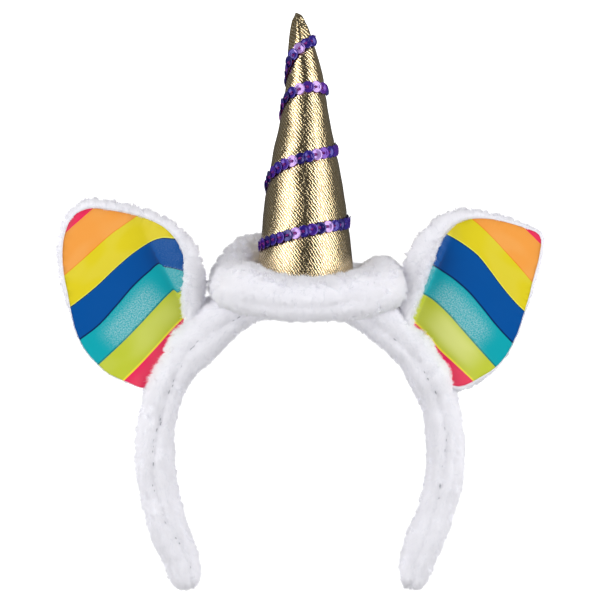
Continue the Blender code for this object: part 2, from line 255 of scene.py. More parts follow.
def corners_of(mesh):
    """The number of the point at each corner of each face."""
    numbers = np.zeros(len(mesh.loops), np.int32)
    mesh.loops.foreach_get("vertex_index", numbers)
    return numbers


def give_cut(mesh, places):
    """Stores where each corner of each face lies on the cloth as it was cut, in millimetres."""
    layer = mesh.uv_layers.new(name="cut")
    layer.data.foreach_set("uv", (places * MM).ravel())


def give(mesh, name, values, domain="POINT"):
    """Stores one number for each point or face."""
    layer = mesh.attributes.new(name, "FLOAT", domain)
    layer.data.foreach_set("value", np.asarray(values, np.float32))


def lumps(points, size, seed):
    """Smooth noise from -1 to 1 at places in millimetres."""
    shift = Vector((seed * 17.3, seed * 9.1, seed * 5.7))
    return np.array([noise.noise(Vector(p) / size + shift) for p in points])


# Materials

def linear(colour):
    """An sRGB hex colour as Blender's linear one."""
    parts = [int(colour[k:k + 2], 16) / 255 for k in (1, 3, 5)]
    return (*[c / 12.92 if c <= 0.04045 else ((c + 0.055) / 1.055) ** 2.4 for c in parts], 1.0)


def put(tree, kind, inputs=None, stops=None, **settings):
    """Adds a node. An input given as a socket is linked, and any other value is set."""
    made = tree.nodes.new(kind)
    for key, value in settings.items():
        setattr(made, key, value)
    for key, value in (inputs or {}).items():
        if isinstance(value, bpy.types.NodeSocket):
            tree.links.new(value, made.inputs[key])
        else:
            made.inputs[key].default_value = value
    if stops:
        ramp = made.color_ramp
        while len(ramp.elements) < len(stops):
            ramp.elements.new(1.0)
        for element, (place, colour) in zip(ramp.elements, stops):
            element.position = place
            element.color = linear(colour)
    return made


def new_material(name, **shader):
    """A material and its shader's node, whose plain values are set on its own sockets."""
    material = bpy.data.materials.new(name)
    material.use_nodes = True
    tree = material.node_tree
    node = tree.nodes["Principled BSDF"]
    for key, value in shader.items():
        node.inputs[key.replace("_", " ")].default_value = value
    return material, tree, node


def plush_pile():
    """Polyester plush, cut short: matt, nearly white, each tuft a little different in tone."""
    material, tree, node = new_material("polyester_plush_pile", Roughness=0.95, Sheen_Weight=0.25,
                                        Sheen_Roughness=0.6, Specular_IOR_Level=0.2)
    tone = put(tree, "ShaderNodeAttribute", attribute_name="tone")
    ramp = put(tree, "ShaderNodeValToRGB", {"Fac": tone.outputs["Fac"]},
               stops=((0.0, "#F0EFF6"), (1.0, "#FAF9FD")))
    tree.links.new(ramp.outputs["Color"], node.inputs["Base Color"])
    # seen from below, a blade shows the light that comes through it
    side = put(tree, "ShaderNodeNewGeometry")
    glow = put(tree, "ShaderNodeBsdfTranslucent", {"Color": linear("#F0EFF5")})
    both = put(tree, "ShaderNodeMixShader",
               {0: side.outputs["Backfacing"], 1: node.outputs[0], 2: glow.outputs[0]})
    # a blade is drawn as wide as several fibres, so part of the light is let past it, as between fibres
    ray = put(tree, "ShaderNodeLightPath")
    light = put(tree, "ShaderNodeMath", {0: ray.outputs["Is Shadow Ray"], 1: ray.outputs["Is Diffuse Ray"]},
                operation="MAXIMUM")
    past = put(tree, "ShaderNodeMath", {0: light.outputs[0], 1: 0.7}, operation="MULTIPLY")
    clear = put(tree, "ShaderNodeBsdfTransparent")
    mix = put(tree, "ShaderNodeMixShader", {0: past.outputs[0], 1: both.outputs[0], 2: clear.outputs[0]})
    tree.links.new(mix.outputs[0], tree.nodes["Material Output"].inputs["Surface"])
    return material


def plush_ground():
    """The knitted ground of the plush, seen only between tufts: matt and a little greyer."""
    material, tree, node = new_material("knitted_plush_ground", Roughness=0.95, Specular_IOR_Level=0.2)
    place = put(tree, "ShaderNodeTexCoord")
    # knit loops of 1.5 mm
    cells = put(tree, "ShaderNodeTexVoronoi", {"Vector": place.outputs["Object"], "Scale": 650.0})
    ramp = put(tree, "ShaderNodeValToRGB", {"Fac": cells.outputs["Distance"]},
               stops=((0.0, "#F4F4F9"), (0.7, "#EAEAF0")))
    bump = put(tree, "ShaderNodeBump", {"Height": cells.outputs["Distance"], "Strength": 0.4, "Distance": 0.0004})
    tree.links.new(ramp.outputs["Color"], node.inputs["Base Color"])
    tree.links.new(bump.outputs["Normal"], node.inputs["Normal"])
    return material


def gold_lame():
    """Gold lamé, woven with flat metal thread: a soft metal gloss broken by slanting threads."""
    material, tree, node = new_material("woven_gold_lame", Metallic=1.0, Roughness=0.13)
    cut = put(tree, "ShaderNodeUVMap", uv_map="cut")
    # threads of 0.3 mm, drawn at 1.1 mm so that they show, on the bias of the cut
    threads = put(tree, "ShaderNodeMapping", {"Vector": cut.outputs["UV"], "Rotation": (0.0, 0.0, radians(-34))})
    twill = put(tree, "ShaderNodeTexWave", {"Vector": threads.outputs["Vector"], "Scale": 285.0,
                                            "Distortion": 4.0, "Detail": 2.0, "Detail Scale": 2.5},
                wave_type="BANDS")
    across = put(tree, "ShaderNodeMapping", {"Vector": cut.outputs["UV"], "Rotation": (0.0, 0.0, radians(50))})
    weft = put(tree, "ShaderNodeTexWave", {"Vector": across.outputs["Vector"], "Scale": 380.0, "Distortion": 5.0,
                                           "Detail": 2.0}, wave_type="BANDS")
    # the metal skin is crushed in short creases that lie along the threads
    creases = put(tree, "ShaderNodeMapping", {"Vector": threads.outputs["Vector"], "Scale": (1.0, 0.4, 1.0)})
    crush = put(tree, "ShaderNodeTexNoise", {"Vector": creases.outputs["Vector"], "Scale": 360.0, "Detail": 2.0,
                                             "Roughness": 0.6})
    both = put(tree, "ShaderNodeMath", {0: weft.outputs["Fac"], 1: 0.4, 2: twill.outputs["Fac"]},
               operation="MULTIPLY_ADD")
    height = put(tree, "ShaderNodeMath", {0: crush.outputs["Fac"], 1: 1.5, 2: both.outputs[0]},
                 operation="MULTIPLY_ADD")
    bump = put(tree, "ShaderNodeBump", {"Height": height.outputs[0], "Strength": 0.8, "Distance": 0.0001})
    # the gaps between threads are deeper in tone
    tone = put(tree, "ShaderNodeValToRGB", {"Fac": twill.outputs["Fac"]},
               stops=((0.0, "#B89C6C"), (0.4, "#EBD3A2"), (1.0, "#FFEFCB")))
    tree.links.new(tone.outputs["Color"], node.inputs["Base Color"])
    tree.links.new(bump.outputs["Normal"], node.inputs["Normal"])
    return material


def striped_satin():
    """Printed polyester satin: saturated stripes under a silky gloss, with a broad painted sheen and painted
    shade in the colour.
    """
    material, tree, node = new_material("printed_satin", Roughness=0.4, Specular_IOR_Level=0.12)
    stripe = put(tree, "ShaderNodeAttribute", attribute_name="stripe")
    part = put(tree, "ShaderNodeMath", {0: stripe.outputs["Fac"], 1: float(STRIPES)}, operation="DIVIDE")
    stops = ((0.0, "#EE2A5C"), (1.0, "#F3A047"), (1.98, "#EE8422"), (2.02, "#DFCD22"), (2.96, "#F0EC58"),
             (2.99, "#04305C"), (3.03, "#00509C"), (3.97, "#062C5C"), (4.02, "#0BA5B0"), (4.97, "#0B7F80"),
             (5.01, "#C0CA3A"), (5.96, "#F2E23C"), (6.01, "#EC2C5E"))
    paint = put(tree, "ShaderNodeValToRGB", {"Fac": part.outputs[0]}, stops=[(p / STRIPES, c) for p, c in stops])
    paint.color_ramp.interpolation = "CONSTANT"
    cut = put(tree, "ShaderNodeUVMap", uv_map="cut")
    # satin threads of 0.15 mm, drawn at 0.5 mm so that they show
    floats = put(tree, "ShaderNodeTexNoise", {"Vector": cut.outputs["UV"], "Scale": 1800.0, "Detail": 1.0})
    bump = put(tree, "ShaderNodeBump", {"Height": floats.outputs["Fac"], "Strength": 0.12, "Distance": 0.0002})
    # painted light and shade in the colour: a painted highlight pales it in a broad, speckled patch where the
    # floats would catch the light, a softer painted glow lies along the folds, and painted shade darkens it along
    # its crease
    painted_sheen = put(tree, "ShaderNodeAttribute", attribute_name="painted_sheen")
    bits = put(tree, "ShaderNodeMapRange", {"Value": floats.outputs["Fac"], "From Min": 0.34, "From Max": 0.68})
    painted_sheen_grain = put(tree, "ShaderNodeMath", {0: bits.outputs[0], 1: painted_sheen.outputs["Fac"]}, operation="MULTIPLY")
    # painted glow: the colour is lightened towards pale yellow along the folds and on the lime stripe
    glow = put(tree, "ShaderNodeAttribute", attribute_name="glow")
    soft = put(tree, "ShaderNodeMixRGB", {"Fac": glow.outputs["Fac"], "Color1": paint.outputs["Color"],
                                          "Color2": linear("#FFFFC4")})
    painted_highlight = put(tree, "ShaderNodeMixRGB", {"Fac": painted_sheen_grain.outputs[0], "Color1": soft.outputs["Color"],
                                          "Color2": linear("#E4F6F6")})
    # painted shade: the colour is darkened towards dark navy before the crease
    painted_crease_shade = put(tree, "ShaderNodeAttribute", attribute_name="painted_crease_shade")
    painted_shade = put(tree, "ShaderNodeMixRGB", {"Fac": painted_crease_shade.outputs["Fac"], "Color1": painted_highlight.outputs["Color"],
                                          "Color2": linear("#1A1F3C")})
    tree.links.new(painted_shade.outputs["Color"], node.inputs["Base Color"])
    tree.links.new(bump.outputs["Normal"], node.inputs["Normal"])
    return material


def sequin_foil():
    """Cupped sequins punched from violet film: hard gloss, and on some a painted glint in pale lavender."""
    material, tree, node = new_material("punched_violet_film", Metallic=0.35, Roughness=0.22, Coat_Weight=0.5,
                                        Coat_Roughness=0.08)
    tone = put(tree, "ShaderNodeAttribute", attribute_name="tone")
    # the top of the ramp is the pale lavender of the painted glints
    ramp = put(tree, "ShaderNodeValToRGB", {"Fac": tone.outputs["Fac"]},
               stops=((0.0, "#1C1264"), (0.35, "#38249A"), (0.65, "#6C2CA6"), (0.8, "#B48CDC"), (1.0, "#C4A0E6")))
    tree.links.new(ramp.outputs["Color"], node.inputs["Base Color"])
    return material


def thread(name, colour):
    """Spun polyester thread: matt, with a fine twist."""
    material, tree, node = new_material(name, Roughness=0.7, Base_Color=linear(colour))
    place = put(tree, "ShaderNodeTexCoord")
    # a twist of 0.5 mm
    twist = put(tree, "ShaderNodeTexWave", {"Vector": place.outputs["Object"], "Scale": 600.0},
                wave_type="BANDS", bands_direction="DIAGONAL")
    bump = put(tree, "ShaderNodeBump", {"Height": twist.outputs["Fac"], "Strength": 0.4, "Distance": 0.0002})
    tree.links.new(bump.outputs["Normal"], node.inputs["Normal"])
    return material


PILE = plush_pile()
GROUND = plush_ground()
GOLD = gold_lame()
SATIN = striped_satin()
FOIL = sequin_foil()
TRIM_THREAD = thread("magenta_thread", "#8E1E86")
SEAM_THREAD = thread("grey_thread", "#7C7C86")


# The band's line and its seam

SIDE = [(-half, height) for half, height in BAND_SIDE]
KNOTS = np.array(SIDE + [(-x, z) for x, z in reversed(SIDE[:-1])])
RUN = np.concatenate(((0,), np.cumsum(np.linalg.norm(np.diff(KNOTS, axis=0), axis=1))))
BAND_LINE = curve_through(np.column_stack((RUN, KNOTS)))
BAND_AT = np.linspace(0, RUN[-1], 500)
BAND_POINTS = BAND_LINE(BAND_AT)
BAND_WAY = unit(np.gradient(BAND_POINTS, BAND_AT, axis=0))
# how far outward the seam runs from the band's middle, at lengths along the band
SEAM = curve_through(((0, -2.6), (20, -2.7), (39, -0.9), (55, 0.6), (75, -0.6), (93, -1.6), (108, -0.8),
                      (127, 1.2), (145, -0.6), (160, -0.3), (200, -0.3), (228, -0.5), (241, 0.1), (258, -0.2),
                      (276, 0.6), (290, -0.6), (306, -1.6), (330, -1.6), (361, -1.2)))
# where the seam's thread shows, and where the cloth is smooth beside it, in lengths along the band
STITCHED = ((12.0, 154.0), (228.0, 313.0))
STITCH_STEP = 2.6
SMOOTH = (205.0, 262.0)


def on_band(points):
    """Where worn points are along the band and how far across it, outward."""
    along, across = [], []
    for part in np.array_split(points[:, (0, 2)], max(1, len(points) // 4000)):
        away = part[:, None] - BAND_POINTS[None]
        near = np.argmin((away ** 2).sum(2), axis=1)
        way = BAND_WAY[near]
        gap = part - BAND_POINTS[near]
        along.append(BAND_AT[near])
        across.append(-gap[:, 0] * way[:, 1] + gap[:, 1] * way[:, 0])
    return np.concatenate(along), np.concatenate(across)


def seam_gap(points):
    """How far each worn point is from the band's front seam, signed, and a large number off its front."""
    along, across = on_band(points)
    gap = across - SEAM(along)[:, 0]
    return np.where(points[:, 1] < -4, gap, 99.0), along


# The padded bases under the plush

def stuffed(name, node, shrink, pressure, voxel=4.0, cap=0.8):
    """A stuffed piece in the place of a solid: it starts smaller, and pressure swells its cloth."""
    item = put_in(name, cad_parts[node].data.copy())
    item.data.materials.clear()
    item.data.materials.append(GROUND)
    edit(item, bpy.ops.mesh.remove_doubles, threshold=0.00002)
    apply(item, "REMESH", mode="VOXEL", voxel_size=voxel * MM)
    set_points(item.data, points_of(item.data) - points_of(item.data, "normal") * shrink * MM)
    blow_up(item, pressure, cap)
    apply(item, "SUBSURF", levels=1, render_levels=1)
    item.data.shade_smooth()
    return item


def blow_up(item, pressure, cap):
    """Swells a piece as stuffing does, by no more than a cap in millimetres."""
    before = points_of(item.data) * CLOTH_SCALE
    set_points(item.data, before)
    cloth = item.modifiers.new("stuffing", "CLOTH")
    cloth.settings.use_pressure = True
    cloth.settings.uniform_pressure_force = pressure
    cloth.settings.effector_weights.gravity = 0
    for moment in range(1, 21):
        bpy.context.scene.frame_set(moment)
    after = points_of(item.evaluated_get(bpy.context.evaluated_depsgraph_get()).data)
    item.modifiers.remove(cloth)
    bpy.context.scene.frame_set(1)
    move = after - before
    far = np.linalg.norm(move, axis=1, keepdims=True)
    most = cap * MM * CLOTH_SCALE
    set_points(item.data, (before + move * np.minimum(1, most / np.maximum(far, 1e-9))) / CLOTH_SCALE)


def swell(item, amount):
    """Moves each point out along its normal, by a length in millimetres."""
    mesh = item.data
    set_points(mesh, points_of(mesh) + points_of(mesh, "normal") * (np.asarray(amount) * MM)[:, None])


def humps(item, places):
    """Lengths that raise a piece softly at places of the plan, each given with its radius and its height."""
    points = points_of(item.data) / MM
    total = np.zeros(len(points))
    for x, y, radius, height in places:
        total += height * np.exp(-((points[:, 0] - x) ** 2 + (points[:, 1] - y) ** 2) / radius ** 2)
    return total


def ring_crease(item):
    """The depth of the long soft crease that runs along the front of the ring, low down."""
    x, y, z = (points_of(item.data) / MM).T
    # it rises by 3 mm at 26 mm from its middle
    off = y - (x / 26) ** 2 * 3 + 1.0
    ends = 1 / (1 + np.exp((np.abs(x) - CREASE_ENDS) / 3))
    return np.where(z > CREASE_ABOVE, CREASE_DEPTH * np.exp(-(off / CREASE_HALF_WIDTH) ** 2) * ends, 0.0)


def press_on_floor(item, above=0.0002):
    """Presses a soft piece flat where it would sink in the floor."""
    points = points_of(item.data)
    points[:, 2] = np.maximum(points[:, 2], above)
    set_points(item.data, points)


# The pile

BAND_BLADES, RING_BLADES, EAR_BLADES = 190000, 170000, 110000
# how deep a blade's root sits in its cloth, and the share of blades that stand up as strays
ROOT_DEPTH = 0.25
STRAYS = 0.07


def bare_piece(name, points, corners, material):
    """A piece of loose triangles, from its points in the frame's metres and their numbers in threes."""
    mesh = bpy.data.meshes.new(name)
    mesh.vertices.add(len(points))
    mesh.loops.add(len(corners))
    mesh.polygons.add(len(corners) // 3)
    mesh.vertices.foreach_set("co", np.asarray(points, np.float32).ravel())
    mesh.loops.foreach_set("vertex_index", np.asarray(corners, np.int32))
    mesh.polygons.foreach_set("loop_start", np.arange(0, len(corners), 3, dtype=np.int32))
    mesh.update(calc_edges=True)
    mesh.materials.append(material)
    mesh.shade_smooth()
    return put_in(name, mesh)


def make_pile(name, base, count, seed, flow, length=2.6, width=0.34, lean=54.0, tuft=2.2, keep=None, short=None,
              wild=0.6):
    """Short cut pile on a base: fine blades that lean with the nap and gather in tufts.

    Flow is the nap's way at a place, keep says which places have pile, short is the part of its length that a
    blade has, and wild is how far tufts stray from the nap.
    """
    rng = np.random.default_rng(seed)
    mesh = base.data
    mesh.calc_loop_triangles()
    corners = np.zeros(len(mesh.loop_triangles) * 3, np.int32)
    mesh.loop_triangles.foreach_get("vertices", corners)
    corners = corners.reshape(-1, 3)
    points, normals = worn(points_of(mesh)), points_of(mesh, "normal") @ LIE
    a, b, c = (points[corners[:, k]] for k in range(3))
    size = np.linalg.norm(np.cross(b - a, c - a), axis=1) / 2

    def scatter(number):
        pick = rng.choice(len(size), number, p=size / size.sum())
        u, v = rng.random((2, number, 1))
        over = u + v > 1
        u, v = np.where(over, 1 - u, u), np.where(over, 1 - v, v)
        weights = np.concatenate((1 - u - v, u, v), axis=1)
        at = (points[corners[pick]] * weights[..., None]).sum(1)
        out = unit((normals[corners[pick]] * weights[..., None]).sum(1))
        if keep is None:
            return at, out
        stays = keep(at, out)
        return at[stays], out[stays]

    def nap(place, normal, spread):
        way = flow(place) + rng.normal(0, spread, place.shape)
        way -= normal * (way * normal).sum(1, keepdims=True)
        return unit(way)

    at, out = scatter(count)
    heads, head_out = scatter(int(size.sum() / (tuft * tuft)))
    head_way = nap(heads, head_out, wild)
    tall = rng.uniform(0.85, 1.15, len(heads))
    head_lean = np.radians(lean + rng.normal(0, 8, len(heads)))
    tree = KDTree(len(heads))
    for k, head in enumerate(heads):
        tree.insert(Vector(head), k)
    tree.balance()
    home = np.array([tree.find(Vector(p))[1] for p in at])
    way = unit(head_way[home] + nap(at, out, 0.8) * 0.6)
    long = length * tall[home] * rng.uniform(0.7, 1.12, len(at))
    if short is not None:
        long *= short(at)
    slope = (head_lean[home] + np.radians(rng.normal(0, 8, len(at))))[:, None]
    # strays make the outline ragged
    stray = rng.random(len(at)) < STRAYS
    slope[stray] *= 0.3
    long[stray] *= 1.15
    tip = at + (out * np.cos(slope) + way * np.sin(slope)) * long[:, None]
    gather = heads[home] + (head_out * np.cos(head_lean * 0.8)[:, None] + head_way
                            * np.sin(head_lean * 0.8)[:, None])[home] * (length * tall)[home, None]
    pull = rng.uniform(0.0, 0.35, len(at))[:, None]
    tip = tip * (1 - pull) + gather * pull
    root = at - out * ROOT_DEPTH
    side = unit(np.cross(out, tip - root)) * (width / 2 * rng.uniform(0.75, 1.25, len(at)))[:, None]
    blades = np.stack((root + side, root - side, tip), axis=1)
    placed = lie(blades.reshape(-1, 3))
    placed[:, 2] = np.maximum(placed[:, 2], 0.0001)
    item = bare_piece(name, placed, np.arange(len(placed)), PILE)
    # painted shade and light: the root of each blade is painted darker, as it lies in its neighbours' shade, and
    # its tip is painted paler
    tone = np.clip(rng.normal(0.6, 0.1, len(at)) + (tall[home] - 1) * 0.6, 0, 1)
    give(item.data, "tone", (tone[:, None] * np.array((0.9, 0.9, 1.1))).ravel())
    # the pile is shaded by the way that the cloth under it faces, so that it reads as one soft surface
    facing = unit(out[:, None] + unit(tip - root)[:, None] * np.array((0.0, 0.0, 0.3))[None, :, None])
    item.data.normals_split_custom_set_from_vertices((facing.reshape(-1, 3) @ LIE.T).tolist())
    return item


def down_the_band(points):
    """The band's nap runs from the crown to the tips."""
    along, _ = on_band(points)
    row = np.clip(np.searchsorted(BAND_AT, along), 0, len(BAND_AT) - 1)
    way = BAND_WAY[row] * np.where(along < RUN[-1] / 2, -1, 1)[:, None]
    return np.column_stack((way[:, 0], np.zeros(len(points)), way[:, 1]))


def make_seam_stitches(base):
    """The band's seam shows as short bits of grey thread between the tufts, where the pile parts."""
    rng = np.random.default_rng(5)
    skin = BVHTree.FromPolygons([tuple(p) for p in worn(points_of(base.data))],
                                [tuple(face.vertices) for face in base.data.polygons])
    parts = []
    for first, last in STITCHED:
        for along in np.arange(first, last, STITCH_STEP):
            if rng.random() < 0.6:
                continue
            run = along + rng.uniform(-1.0, 1.0) + np.linspace(0, rng.uniform(0.4, 1.7), 4)
            middle = BAND_LINE(run)
            way = unit(np.gradient(middle, axis=0))
            gap = SEAM(run)[:, 0] + rng.uniform(-1.1, 1.1)
            x, z = middle[:, 0] - way[:, 1] * gap, middle[:, 1] + way[:, 0] * gap
            line = []
            for k in range(len(run)):
                hit = skin.ray_cast(Vector((x[k], -60.0, z[k])), Vector((0.0, 1.0, 0.0)))[0]
                if hit is not None:
                    line.append(np.array(hit) - (0.0, 1.15 + 0.3 * sin(pi * k / 3), 0.0))
            if len(line) == len(run):
                parts.append(round_thread(line, rng.uniform(0.08, 0.18), 5))
    return joined("seam_stitches", parts, SEAM_THREAD)


# The horn

HORN_SHAPE = curve_through(HORN_ROWS)
TRIM_PATH = curve_through(TRIM_ROWS)


def horn_axis(distance):
    distance = np.asarray(distance, float)
    sag = HORN_SAG * (np.maximum(distance, 0) / HORN_LENGTH) ** 2
    sideways = HORN_SHAPE(distance)[..., 0]
    across = np.zeros(distance.shape + (3,))
    across[..., 0] = sideways
    return HORN_FOOT + HORN_ALONG * distance[..., None] + HORN_DOWN * sag[..., None] + across


def horn_point(distance, turn, above=0.0):
    """Worn points over the horn's skin and the way out there. Turn 0 is the front, in degrees."""
    along = unit(horn_axis(distance + 0.5) - horn_axis(distance - 0.5))
    right = unit(np.array((1.0, 0.0, 0.0)) - along * along[..., :1])
    front = np.cross(right, along)
    turn = np.radians(turn)[..., None]
    out = front * np.cos(turn) + right * np.sin(turn)
    return horn_axis(distance) + out * (HORN_SHAPE(distance)[..., 1] + above)[..., None], out


def trim_gap(distance, turn):
    """How far a place on the horn's skin is from the nearest winding of the trim, in millimetres."""
    best = np.full(distance.shape, 99.0)
    for round_ in range(-1, 4):
        at = turn + 360 * round_
        inside = (at >= TRIM_ROWS[0][0]) & (at <= TRIM_ROWS[-1][0])
        gap = distance - TRIM_PATH(np.clip(at, TRIM_ROWS[0][0], TRIM_ROWS[-1][0]))[..., 0]
        best = np.where(inside & (np.abs(gap) < np.abs(best)), gap, best)
    return best


def horn_swell(s, t):
    """How far the horn's cloth stands off its plain form, at distances and at turns in degrees."""
    radius, turn = HORN_SHAPE(s)[..., 1], np.radians(t)
    gap = trim_gap(s, t)
    # it is drawn in under each winding of the trim, and slims at the tip
    puff = 0.35 - 0.7 * np.exp(-(gap / 2.6) ** 2) - 0.7 * np.clip((s - 95) / 16, 0, 1)
    # short puckers beside the trim, one in 4.7 mm
    wave = lumps(np.column_stack((s.ravel(), t.ravel() * 0.25, np.zeros(s.size))), 6.0, 3).reshape(s.shape)
    pucker = 0.12 * np.exp(-(gap / 4.5) ** 2) * np.sin(turn * radius / 0.75 + wave * 3)
    # the stuffing's lumps, 7 mm and 15 mm wide
    fine = lumps(np.stack((s, radius * np.sin(turn), radius * np.cos(turn)), axis=-1).reshape(-1, 3), 7.0, 5)
    broad = lumps(lie(horn_point(s, t)[0].reshape(-1, 3)) / MM, 15.0, 8)
    lumpy = (0.14 * fine + 0.35 * broad).reshape(s.shape)
    # five flutes where the cloth is gathered at the tip
    flute = 0.35 * np.clip((s - 100) / 18, 0, 1) * np.cos(np.radians(t * 5 + 40))
    room = np.clip(radius / 12, 0.2, 1)
    return (puff + pucker + lumpy) * room + flute * np.clip((HORN_LENGTH - s) / 6, 0, 1)


def make_horn():
    """The horn's cloth, pulled in under the trim and puckered beside it."""
    around = 120
    foot_at, blunt_at, end_at = -5.0, 119.0, 124.9
    rounding = blunt_at + (HORN_LENGTH - blunt_at) * np.linspace(0, 1, 15)[1:] ** 0.8
    distance = np.concatenate((np.linspace(foot_at, blunt_at, 156), rounding))
    turn = np.arange(around) * 360 / around
    s, t = np.meshgrid(distance, turn, indexing="ij")
    skin, _ = horn_point(s, t, horn_swell(s, t))
    points = np.vstack((lie(skin.reshape(-1, 3)), lie(horn_axis(np.array([foot_at, end_at])))))
    faces = between_rows(len(distance), around)
    last = (len(distance) - 1) * around
    for k in range(around):
        n = (k + 1) % around
        faces.append((n, k, len(points) - 2))
        faces.append((last + k, last + n, len(points) - 1))
    item = new_piece("stuffed_horn", points, faces, GOLD)
    # the cloth's cut, a sector of a circle, with its seam at the back
    loops = corners_of(item.data)
    row, column = loops // around, loops % around
    owner = np.repeat(np.arange(len(faces)), [len(face) for face in faces])
    seam = np.zeros(len(faces), bool)
    half = around // 2
    for index, face in enumerate(faces):
        columns = [p % around for p in face if p < len(points) - 2]
        seam[index] = half in columns and half - 1 not in columns
    angle = np.where(column > half, column - around, column).astype(float)
    angle = np.where((column == half) & seam[owner], -half, angle) * 2 * pi / around
    run = np.where(row < len(distance), distance[np.clip(row, 0, len(distance) - 1)], end_at)
    run = np.where(loops == len(points) - 2, foot_at, run)
    spread, ray = angle * CUT_SPREAD, CUT_REACH - run
    give_cut(item.data, np.column_stack((ray * np.sin(spread), -ray * np.cos(spread))))
    return item


# The sequin trim

def trim_frame(turn):
    """The trim's place over the horn's skin, and its ways on, out and across, at turns in degrees."""
    turn = np.asarray(turn, float)
    place, out = horn_point(TRIM_PATH(turn)[..., 0], turn, TRIM_LIFT)
    ahead = horn_point(TRIM_PATH(turn + 1)[..., 0], turn + 1, TRIM_LIFT)[0]
    behind = horn_point(TRIM_PATH(turn - 1)[..., 0], turn - 1, TRIM_LIFT)[0]
    onward = unit(ahead - behind)
    across = unit(np.cross(out, onward))
    return place, onward, np.cross(onward, across), across


def trim_turns(step):
    """Turns along the trim that lie a step apart on the horn, in millimetres."""
    turns = np.arange(TRIM_ROWS[0][0] + TRIM_END, TRIM_ROWS[-1][0] - TRIM_END + 0.5, 1.0)
    line = trim_frame(turns)[0]
    run = np.concatenate(((0,), np.cumsum(np.linalg.norm(np.diff(line, axis=0), axis=1))))
    number = int(np.ceil(run[-1] / step))
    return np.interp(np.linspace(0, run[-1], number + 1), run, turns)


def one_sequin():
    """A cupped sequin with a hole, 5.4 mm across, lying flat at the origin, in millimetres."""
    bpy.ops.object.select_all(action="DESELECT")
    bpy.ops.mesh.primitive_circle_add(vertices=14, radius=SEQUIN_RADIUS, fill_type="NOTHING")
    item = bpy.context.object
    bpy.ops.object.mode_set(mode="EDIT")
    bpy.ops.mesh.select_all(action="SELECT")
    for shrink, drop in ((0.66, -0.32), (0.52, -0.22), (0.5, -0.03)):
        bpy.ops.mesh.extrude_edges_move(TRANSFORM_OT_translate={"value": (0, 0, drop)})
        bpy.ops.transform.resize(value=(shrink, shrink, 1))
    bpy.ops.object.mode_set(mode="OBJECT")
    apply(item, "SOLIDIFY", thickness=0.14, offset=0.0)
    points = points_of(item.data)
    faces = [tuple(face.vertices) for face in item.data.polygons]
    bpy.data.objects.remove(item)
    return points, faces


def make_sequins():
    """All the sequins, each resting on the next, as one piece."""
    rng = np.random.default_rng(7)
    model, model_faces = one_sequin()
    turns = trim_turns(SEQUIN_STEP)
    place, onward, out, across = trim_frame(turns)
    painted_glint_ones = {int(np.argmin(np.abs(turns - turn))) for turn in PAINTED_GLINT_SEQUINS}
    points, faces, tones = [], [], []
    for k in range(len(turns)):
        tilt = radians(7 + rng.normal(0, 3))
        roll = radians(rng.normal(0, 5))
        flat = onward[k] * cos(tilt) + out[k] * sin(tilt)
        up = out[k] * cos(tilt) - onward[k] * sin(tilt)
        side = across[k] * cos(roll) + up * sin(roll)
        up = np.cross(flat, side)
        middle = place[k] + out[k] * 0.65
        disc = middle + model[:, :1] * flat + model[:, 1:2] * side + (model[:, 2:] + 0.3) * up
        faces += [tuple(v + len(model) * k for v in face) for face in model_faces]
        points.append(disc)
        # a quarter of the sequins at the back, and the listed ones, get a painted glint: their colour is pale
        # lavender
        behind = 100 < turns[k] % 360 < 260 and rng.random() < 0.25
        painted_highlight = behind or k in painted_glint_ones
        tones.append(0.92 if painted_highlight else rng.choice((0.05, 0.25, 0.45, 0.6), p=(0.3, 0.3, 0.25, 0.15)))
    item = new_piece("sequins", lie(np.concatenate(points)), faces, FOIL)
    give(item.data, "tone", np.repeat(tones, len(model)))
    return item


def round_thread(line, radius, sides):
    """Points and faces of a thread along a row of worn points."""
    line = np.asarray(line, float)
    way = unit(np.gradient(line, axis=0))
    over = unit(np.cross(way, np.array((0.31, 0.17, 0.93))))
    other = np.cross(way, over)
    angle = 2 * pi * np.arange(sides) / sides
    out = over[:, None] * np.cos(angle)[:, None] + other[:, None] * np.sin(angle)[:, None]
    rings = line[:, None] + radius * out
    faces = between_rows(len(line), sides)
    faces.append(tuple(reversed(range(sides))))
    faces.append(tuple((len(line) - 1) * sides + k for k in range(sides)))
    return lie(rings.reshape(-1, 3)), faces


def joined(name, parts, material):
    """Several small meshes as one piece."""
    points, faces, start = [], [], 0
    for part_points, part_faces in parts:
        points.append(part_points)
        faces += [tuple(v + start for v in face) for face in part_faces]
        start += len(part_points)
    return new_piece(name, np.concatenate(points), faces, material)


def make_trim_thread():
    """The thread that strings the sequins: under the trim all along, and up through every hole."""
    turns = np.linspace(TRIM_ROWS[0][0], TRIM_ROWS[-1][0], 420)
    place, onward, out, across = trim_frame(turns)
    parts = [round_thread(place + out * 0.15 + across * side, 0.35, 6) for side in (-0.5, 0.5)]
    turns = trim_turns(SEQUIN_STEP)
    place, onward, out, across = trim_frame(turns)
    for k in range(len(turns)):
        reach = ((-1.0, 0.4), (-0.85, 1.0), (-0.4, 1.15), (0.05, 0.8), (0.1, 0.2))
        line = [place[k] + onward[k] * on + out[k] * up for on, up in reach]
        parts.append(round_thread(line, 0.2, 5))
    return joined("trim_thread", parts, TRIM_THREAD)


# The ears

def soft_step(value, softness):
    return (value + np.sqrt(value * value + softness * softness)) / 2


def crease_place(ear, x, z):
    """How far a place is past the ear's crease, and how far along it."""
    direction = radians(ear["crease"])
    inward = direction - ear["inner"] * pi / 2
    dx, dz = x - ear["crease_at"][0], z - ear["crease_at"][1]
    return dx * cos(inward) + dz * sin(inward), dx * cos(direction) + dz * sin(direction)


